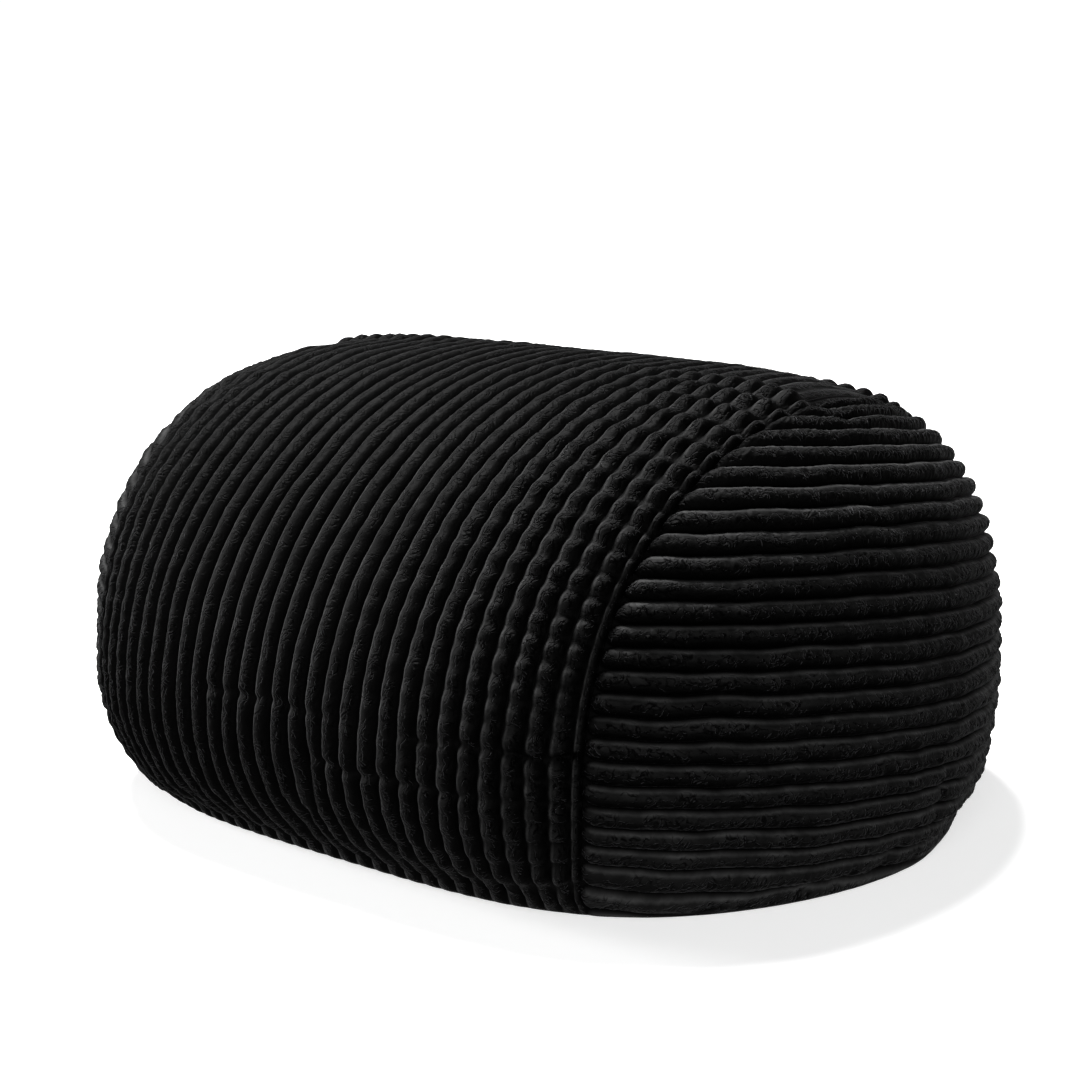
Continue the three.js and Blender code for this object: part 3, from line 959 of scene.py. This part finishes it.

# %% [markdown]
# ### Keeping painted shade for what is hidden, and finishing the tree
# The material paints shade where light hardly reaches, so each point keeps how much painted
# shade it gets: in a groove, between two beads or in a crease. The tree ends in real points with
# their material.

# %% Finish the tree
# Painted shade: how far light is kept out, in a groove, a bead's dip or a crease
in_groove = add_node(ribs, MATH, [1.0, round_rib], operation="SUBTRACT")
between = add_node(ribs, MATH, [in_groove, on_rib], operation="ADD")
hidden = add_node(
    ribs, MATH, [kept["crease"], given["Crease shade"], between], operation="MULTIPLY_ADD"
)
noted = add_node(
    ribs,
    "GeometryNodeStoreNamedAttribute",
    {"Geometry": given["Panel"], "Name": "hollow", "Value": hidden},
    data_type="FLOAT",
    domain="POINT",
)
moved = add_node(ribs, "GeometryNodeSetPosition", {"Geometry": noted, "Offset": offset})
real = add_node(ribs, "GeometryNodeRealizeInstances", {"Geometry": moved})
dressed = add_node(
    ribs, "GeometryNodeSetMaterial", {"Geometry": real, "Material": given["Cloth"]}
)
add_node(ribs, "NodeGroupOutput", {"Panel": dressed})
print("rib tree:", len(ribs.nodes), "nodes")

# %% [markdown]
# ## Black brushed plush
# Wide rib cord is woven with a cut pile that is brushed up, here dyed black. Cut pile eats
# light that meets it head on and gives a soft grey sheen where it is seen edge on. Its colour
# also carries painted light: a painted pale rim and highlight on one flank of every rib,
# painted shade on the other flank, and painted shade that turns the grooves black. Crushed
# tufts lie in other directions, which shows as short dark and light marks. A few colours and
# noises, placed by each point's place on the cord, give all of this, and the material moves with
# the cloth.

# %% Sizes of the plush
# A tuft of the pile is about 0.4 mm thick. It is drawn four times as coarse, or it would
# not show at this distance
TUFT_SIZE = 0.0016
# Curls of crushed pile, and the wander of the parting on a crest, are half a rib across
CURL_SIZE = 0.012
PARTING_SIZE = 0.011
# Crushed pile gives way to clean pile over about one rib
PATCH_SIZE = 0.030

print("drawn in mm: tufts", 1000 * TUFT_SIZE, "curls", 1000 * CURL_SIZE)

# %% Start the plush
# The share of a rib from its middle at which the crest turns into a flank
CREST_EDGES = (0.16, 0.42)

plush = bpy.data.materials.new("brushed_black_plush_cord")
plush.use_nodes = True
tree = plush.node_tree
tree.nodes.clear()
cord = add_node(tree, "ShaderNodeAttribute", attribute_name="cord").outputs["Vector"]
kept = {}
for name in ("rib", "stand", "hollow", "crushed"):
    kept[name] = add_node(tree, "ShaderNodeAttribute", attribute_name=name).outputs["Fac"]
share = add_node(tree, MATH, [kept["rib"]], operation="FRACT")
from_middle = add_node(tree, MATH, [share, 0.5], operation="SUBTRACT")
off_middle = add_node(tree, MATH, [from_middle], operation="ABSOLUTE")
crest = add_node(
    tree, RANGE, [off_middle, *CREST_EDGES, 1.0, 0.0], interpolation_type="SMOOTHSTEP"
)
print("attributes read by the plush:", ["cord", *kept])

# %% [markdown]
# ### Partings and curls
# Along the middle of a crest the pile parts, in a line that wanders and breaks off. Beside
# it lie crushed curls, drawn as the level lines of a noise. Both come in patches, on the
# crests of whole ribs, and most where the pile is crushed.

# %% Partings and curls
PARTING_WIDTH = 0.06
CURL_WIDTH = 0.08
CURL_PATCHES = (0.44, 0.56)
PARTING_PATCHES = (0.40, 0.52)
WHOLE_RIB = (0.4, 0.95)

wander = add_node(tree, NOISE, {"Vector": cord, "Scale": 1 / PARTING_SIZE, "Detail": 2.0})
wandered = add_node(tree, MATH, [wander, from_middle], operation="ADD")
off_parting = add_node(tree, MATH, [wandered, 0.5], operation="SUBTRACT")
parting_distance = add_node(tree, MATH, [off_parting], operation="ABSOLUTE")
parting = add_node(tree, RANGE, [parting_distance, 0.0, PARTING_WIDTH, 1.0, 0.0])

curls = add_node(
    tree, NOISE, {"Vector": cord, "Scale": 1 / CURL_SIZE, "Detail": 1.0, "Distortion": 1.0}
)
off_curl = add_node(tree, MATH, [curls, 0.5], operation="SUBTRACT")
curl_distance = add_node(tree, MATH, [off_curl], operation="ABSOLUTE")
curl_line = add_node(tree, RANGE, [curl_distance, 0.0, CURL_WIDTH, 1.0, 0.0])

patches = add_node(tree, NOISE, {"Vector": cord, "Scale": 1 / PATCH_SIZE, "Detail": 3.0})
curl_patch = add_node(tree, RANGE, [patches, *CURL_PATCHES])
parting_patch = add_node(tree, RANGE, [curls, *PARTING_PATCHES])
curled = add_node(tree, MATH, [curl_line, curl_patch], operation="MULTIPLY")
parted = add_node(tree, MATH, [parting, parting_patch], operation="MULTIPLY")
either = add_node(tree, MATH, [curled, parted], operation="MAXIMUM")
whole = add_node(tree, RANGE, [kept["stand"], *WHOLE_RIB])
worn = add_node(tree, MATH, [kept["crushed"], whole], operation="MULTIPLY")
whole_crest = add_node(tree, MATH, [crest, worn], operation="MULTIPLY")
mark = add_node(tree, MATH, [either, whole_crest], operation="MULTIPLY")
print("nodes so far:", len(tree.nodes))

# %% [markdown]
# ### Colour
# The colour across every rib is painted light and shade: painted shade, black, in the groove,
# a painted highlight on the flank towards the light, and painted shade on the other flank.
# Some patches are darker, painted shade turns grooves, bead dips and creases black, and marks are
# black.

# %% Colour across the ribs
# Painted highlight and painted shade across one rib, from groove to groove
PAINTED_FLANK_LIGHT = (
    (0.0, "#040404"),
    (0.09, "#282828"),
    (0.18, "#3c3c3c"),
    (0.28, "#1d1d1d"),
    (0.48, "#151515"),
    (0.58, "#070707"),
    (0.76, "#020202"),
    (1.0, "#000000"),
)
PATCH_SHADES = ((0.35, "#b4b4b4"), (0.65, "#ffffff"))
# Range of painted shade, from the rib tree, over which the colour turns black
GROOVE_SHADE = (0.38, 0.92)

painted_flank_light = add_node(tree, RAMP, [share], stops=PAINTED_FLANK_LIGHT)
pile = add_node(tree, RAMP, [patches], stops=PATCH_SHADES)
flank_light_in_patches = add_node(
    tree,
    "ShaderNodeMix",
    {"Factor": 1.0, "A": painted_flank_light, "B": pile},
    data_type="RGBA",
    blend_type="MULTIPLY",
).outputs["Result"]
# Painted shade turns grooves, bead dips and creases black; crush marks are black as well
groove = add_node(tree, RANGE, [kept["hollow"], *GROOVE_SHADE])
painted_shade_and_marks = add_node(tree, MATH, [groove, mark], operation="MAXIMUM")
colour = add_node(
    tree,
    "ShaderNodeMix",
    {"Factor": painted_shade_and_marks, "A": flank_light_in_patches, "B": linear("#000000")},
    data_type="RGBA",
).outputs["Result"]
print("nodes so far:", len(tree.nodes))

# %% [markdown]
# ### Relief and surface
# Marks sink, curls swell on the crest and single tufts stand up. The surface is matt, as
# cut pile is, with a faint cool sheen at its rims.

# %% Relief and surface of the plush
# Relief of single tufts and of the marks beside that of a curl, and its depth in metres
TUFT_RELIEF = 0.12
MARK_RELIEF = -0.9
PILE_RELIEF = 0.003

tufts = add_node(tree, NOISE, {"Vector": cord, "Scale": 1 / TUFT_SIZE, "Detail": 2.0})
swell = add_node(tree, MATH, [curls, whole_crest], operation="MULTIPLY")
tufted = add_node(tree, MATH, [tufts, TUFT_RELIEF, swell], operation="MULTIPLY_ADD")
sunk = add_node(tree, MATH, [mark, MARK_RELIEF, tufted], operation="MULTIPLY_ADD")
bump = add_node(
    tree, "ShaderNodeBump", {"Height": sunk, "Strength": 1.0, "Distance": PILE_RELIEF}
)
surface = add_node(
    tree,
    "ShaderNodeBsdfPrincipled",
    {
        "Base Color": colour,
        "Roughness": 0.6,
        "Specular IOR Level": 0.03,
        "Sheen Weight": 0.06,
        "Sheen Roughness": 0.14,
        "Sheen Tint": linear("#d6d6da"),
        "Normal": bump,
    },
)
add_node(tree, "ShaderNodeOutputMaterial", {"Surface": surface})
print("plush material:", len(tree.nodes), "nodes")

# %% [markdown]
# ## Raise the ribs and keep plain meshes
# Each panel gets the tree as a modifier, its inputs set by the sockets' own identifiers.
# The result is then kept as a plain mesh, so nothing is left to be worked out later. The
# barrel's ribs run on into the seam, so they have no nose, and they alone are gathered.

# %% Dress each panel
def raise_ribs(piece, **changes):
    """Raise the ribs of a panel, with changes to the tree's inputs, named as they are."""
    modifier = piece.modifiers.new("ribs", "NODES")
    modifier.node_group = ribs
    changed = {key.replace("_", " ").capitalize(): value for key, value in changes.items()}
    wanted = {**RIB_INPUTS, "Filling": filling_skin, "Cloth": plush, **changed}
    for item in ribs.interface.items_tree:
        if item.in_out == "INPUT" and item.name in wanted:
            modifier[item.identifier] = wanted[item.name]
    depsgraph = bpy.context.evaluated_depsgraph_get()
    made = bpy.data.meshes.new_from_object(
        piece.evaluated_get(depsgraph), preserve_all_data_layers=True, depsgraph=depsgraph
    )
    piece.modifiers.clear()
    piece.data = made
    triangles = sum(len(face.vertices) - 2 for face in made.polygons)
    names = [material.name for material in made.materials]
    print(piece.name, "dressed:", triangles, "triangles, materials", names)


NO_NOSE = 0.0001

raise_ribs(barrel_cord, nose_length=NO_NOSE, gather_depth=0.016, crush_depth=0.0008, waver=0.006)
raise_ribs(right_end_cord)
raise_ribs(left_end_cord, seed=8.0)
bpy.data.objects.remove(filling_skin)

# %% [markdown]
# ## What each piece stands for
# A piece rides on the lounger's one body and stands for its CAD solid, which is hidden.

# %% Attach each piece to the body and hide its CAD solid
for piece, node in (
    (barrel_cord, "barrel_panel"),
    (right_end_cord, "end_panel_right"),
    (left_end_cord, "end_panel_left"),
):
    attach(piece, "root")
    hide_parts(node)
    print(piece.name, "stands for", node)

# %% [markdown]
# ## A plain studio
# The lounger stands on a pale floor, seen by a long lens from a little above its height. A
# strong soft light from above and to the left lights one flank of each rib more than the
# other, over the painted highlight and shade in the plush's colour. A weaker one lights the
# left side, and a weak fill keeps the near end from going black.

# %% Floor
FLOOR_REACH = 30.0
FLOOR_SHADE = "#d8d8d8"
FLOOR_GLOW = 0.62


def studio_floor():
    """A matt white floor, glowing a little so that only the shadow at the lounger shows."""
    mesh = bpy.data.meshes.new("floor")
    ways = ((-1, -1), (1, -1), (1, 1), (-1, 1))
    corners = [(FLOOR_REACH * x, FLOOR_REACH * y, 0) for x, y in ways]
    mesh.from_pydata(corners, [], [(0, 1, 2, 3)])
    floor = bpy.data.objects.new("floor", mesh)
    bpy.context.scene.collection.objects.link(floor)
    paint = bpy.data.materials.new("matt_white_floor")
    paint.use_nodes = True
    shader = paint.node_tree.nodes["Principled BSDF"]
    shader.inputs["Base Color"].default_value = linear(FLOOR_SHADE)
    shader.inputs["Roughness"].default_value = 0.9
    shader.inputs["Specular IOR Level"].default_value = 0.0
    shader.inputs["Emission Color"].default_value = linear("#ffffff")
    shader.inputs["Emission Strength"].default_value = FLOOR_GLOW
    mesh.materials.append(paint)
    # Nothing is thrown back up from the floor, so that the undersides of the ribs stay dark
    floor.visible_diffuse = False
    floor.visible_glossy = False
    return floor


print("floor:", studio_floor().name)

# %% Light
# Each softbox: the way to it from the lounger, its spread in degrees and its strength
SOFTBOXES = {
    "overhead_softbox": ((-0.34, 0.14, 0.93), 16.0, 8.2),
    "side_softbox": ((-0.85, -0.30, 0.30), 16.0, 2.2),
    "front_fill": ((0.5, -0.75, 0.45), 40.0, 1.5),
}
# Light of the room from straight below, at 0, past the horizon, at 0.5, to straight above
ROOM_LIGHT = ((0.44, "#b4b4b4"), (0.46, "#ffffff"), (0.54, "#ffffff"), (0.64, "#595959"))
ROOM_STRENGTH = 1.05


def aim_rotation(direction):
    """Turn that points an object's own -Z axis along a direction, with Y kept upright."""
    flat = math.hypot(direction[0], direction[1])
    return (math.atan2(flat, -direction[2]), 0.0, math.atan2(-direction[0], direction[1]))


def soft_sun(name, direction, spread_degrees, strength):
    """A softbox far away: the same light over the whole floor, with soft shadows."""
    light = bpy.data.lights.new(name, "SUN")
    light.angle = math.radians(spread_degrees)
    light.energy = strength
    lamp = bpy.data.objects.new(name, light)
    lamp.rotation_euler = aim_rotation(-np.array(direction))
    bpy.context.scene.collection.objects.link(lamp)


def studio_world():
    """White by the horizon, behind the floor's edge, and a weak fill above it."""
    world = bpy.data.worlds.new("studio")
    world.use_nodes = True
    tree = world.node_tree
    direction = add_node(tree, "ShaderNodeTexCoord").outputs["Generated"]
    rise = add_node(tree, "ShaderNodeSeparateXYZ", [direction]).outputs["Z"]
    share = add_node(tree, MATH, [rise, 0.5, 0.5], operation="MULTIPLY_ADD")
    room = add_node(tree, RAMP, [share], stops=ROOM_LIGHT)
    background = tree.nodes["Background"]
    tree.links.new(room.outputs["Color"], background.inputs["Color"])
    background.inputs["Strength"].default_value = ROOM_STRENGTH
    bpy.context.scene.world = world


for name, (direction, spread, strength) in SOFTBOXES.items():
    soft_sun(name, direction, spread, strength)
studio_world()
print("softboxes:", list(SOFTBOXES))

# %% Camera
# The way from the aim to the camera, its distance and aim in metres, and its lens in mm
CAMERA_AZIMUTH = math.radians(38.0)
CAMERA_RISE = math.radians(12.25)
CAMERA_DISTANCE = 2.684
CAMERA_AIM = (-0.0068, -0.0053, 0.3163)
CAMERA_LENS = 69.0
CAMERA_SENSOR = 36.0


def studio_camera():
    back = np.array([
        math.sin(CAMERA_AZIMUTH) * math.cos(CAMERA_RISE),
        -math.cos(CAMERA_AZIMUTH) * math.cos(CAMERA_RISE),
        math.sin(CAMERA_RISE),
    ])
    camera = bpy.data.cameras.new("camera")
    camera.lens = CAMERA_LENS
    camera.sensor_width = CAMERA_SENSOR
    eye = bpy.data.objects.new("camera", camera)
    eye.location = np.array(CAMERA_AIM) + back * CAMERA_DISTANCE
    eye.rotation_euler = aim_rotation(-back)
    bpy.context.scene.collection.objects.link(eye)
    bpy.context.scene.camera = eye


studio_camera()
bpy.context.scene.view_settings.view_transform = "Standard"
print("camera:", CAMERA_LENS, "mm lens,", CAMERA_DISTANCE, "m away")
